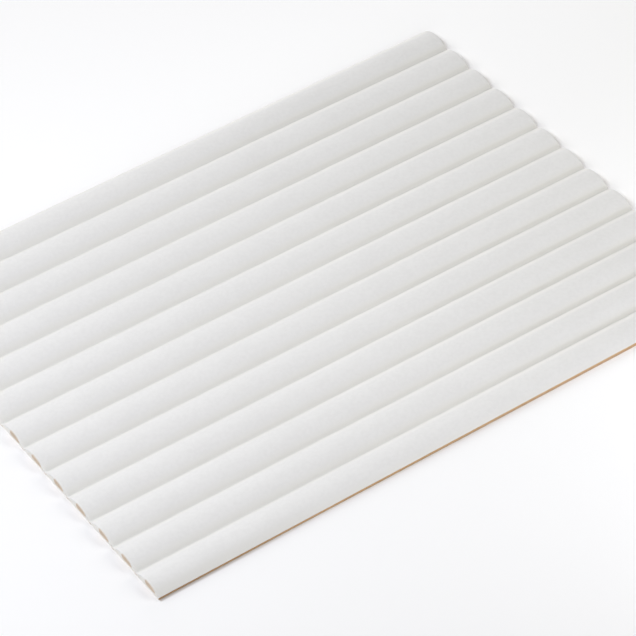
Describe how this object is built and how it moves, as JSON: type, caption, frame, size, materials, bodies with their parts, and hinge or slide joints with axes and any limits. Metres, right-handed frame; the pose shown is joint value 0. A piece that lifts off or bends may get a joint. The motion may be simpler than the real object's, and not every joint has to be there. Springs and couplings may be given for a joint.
{
  "type": "fluted wall panel",
  "caption": "Flat wall panel with shallow rounded flutes along its face, white coated fibreboard with bare brown edges and back.",
  "frame": {"origin": "middle of the flat back, which lies on the floor", "axes": "+X along the flutes, +Y across them, +Z out of the fluted face"},
  "size_m": [0.4, 0.3048, 0.0055],
  "materials": {
    "coated_fibreboard": "matte white coating on the face, bare brown fibreboard on the back and edges"
  },
  "bodies": {
    "root": {"fluted_panel": "coated_fibreboard"}
  },
  "joints": []
}
